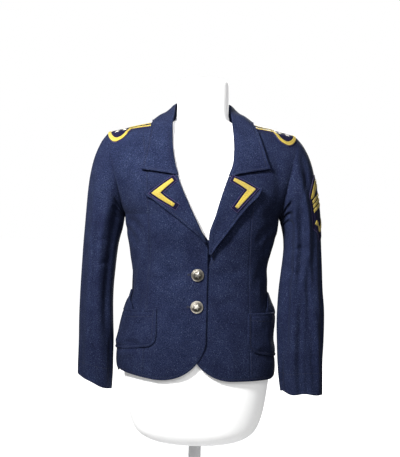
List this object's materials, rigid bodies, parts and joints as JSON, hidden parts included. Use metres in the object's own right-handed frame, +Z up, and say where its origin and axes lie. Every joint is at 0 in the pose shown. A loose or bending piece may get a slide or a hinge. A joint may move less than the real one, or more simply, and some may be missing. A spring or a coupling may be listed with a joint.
{
  "type": "military-style blazer on a dress form",
  "caption": "Navy jersey blazer with gold rank trim, notched lapels and patch pockets, buttoned on a white limbless dress form with a pole and a round base.",
  "frame": {"origin": "centre of the round base's underside, on the floor", "axes": "+Z up; the blazer's front faces -Y, so the wearer's right is at -X"},
  "size_m": [0.4846, 0.3, 0.853],
  "materials": {
    "navy_jersey": "heathered jersey knit",
    "gold_trim": "satin-stitched braid",
    "antique_metal": "antiqued, raised relief",
    "form_shell": "matt white",
    "stand_steel": "satin white"
  },
  "bodies": {
    "root": {"back": "navy_jersey", "button_lower": "antique_metal", "button_upper": "antique_metal", "collar": "navy_jersey", "epaulette_braid_left": "gold_trim", "epaulette_braid_right": "gold_trim", "epaulette_left": "navy_jersey", "epaulette_right": "navy_jersey", "form_base": "stand_steel", "form_body": "form_shell", "form_pole": "stand_steel", "front_centre_left": "navy_jersey", "front_centre_right": "navy_jersey", "front_side_left": "navy_jersey", "front_side_right": "navy_jersey", "lapel_chevron_left": "gold_trim", "lapel_chevron_right": "gold_trim", "lapel_left": "navy_jersey", "lapel_right": "navy_jersey", "pocket_left": "navy_jersey", "pocket_right": "navy_jersey", "sleeve_badge": "gold_trim", "sleeve_left": "navy_jersey", "sleeve_right": "navy_jersey"}
  },
  "joints": []
}
